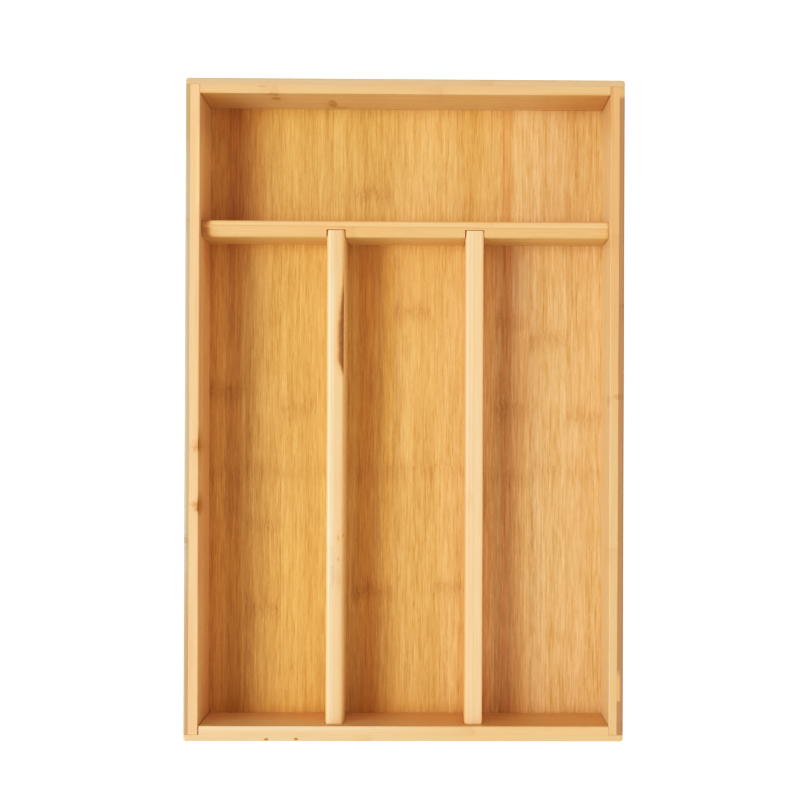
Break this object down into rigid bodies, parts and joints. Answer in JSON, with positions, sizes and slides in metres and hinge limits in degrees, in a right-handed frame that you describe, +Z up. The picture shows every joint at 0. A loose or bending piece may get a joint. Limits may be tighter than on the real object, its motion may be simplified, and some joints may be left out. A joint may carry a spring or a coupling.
{
  "type": "cutlery tray",
  "caption": "Shallow open bamboo box with a full-width compartment across the back and long parallel compartments in front of it, for sorting cutlery in a drawer.",
  "frame": {"origin": "middle of the tray's footprint, on the surface it stands on", "axes": "+Z up out of the open top, +Y towards the full-width compartment at the back, +X to the right"},
  "size_m": [0.252, 0.38, 0.05],
  "materials": {
    "bamboo_wall": "laminated bamboo, sanded, thin satin lacquer",
    "bamboo_side_wall": "laminated bamboo with a darker outer layer, sanded, thin satin lacquer",
    "bamboo_base": "bamboo strips laid flat, grain front to back, thin satin lacquer",
    "bamboo_divider": "pale laminated bamboo, rounded and sanded top edges, thin satin lacquer",
    "brad_steel": "bright steel wire"
  },
  "bodies": {
    "root": {"front_wall": "bamboo_wall", "back_wall": "bamboo_wall", "left_wall": "bamboo_side_wall", "right_wall": "bamboo_side_wall", "base_panel": "bamboo_base", "cross_divider": "bamboo_divider", "left_long_divider": "bamboo_divider", "right_long_divider": "bamboo_divider", "corner_brads": "brad_steel"}
  },
  "joints": []
}
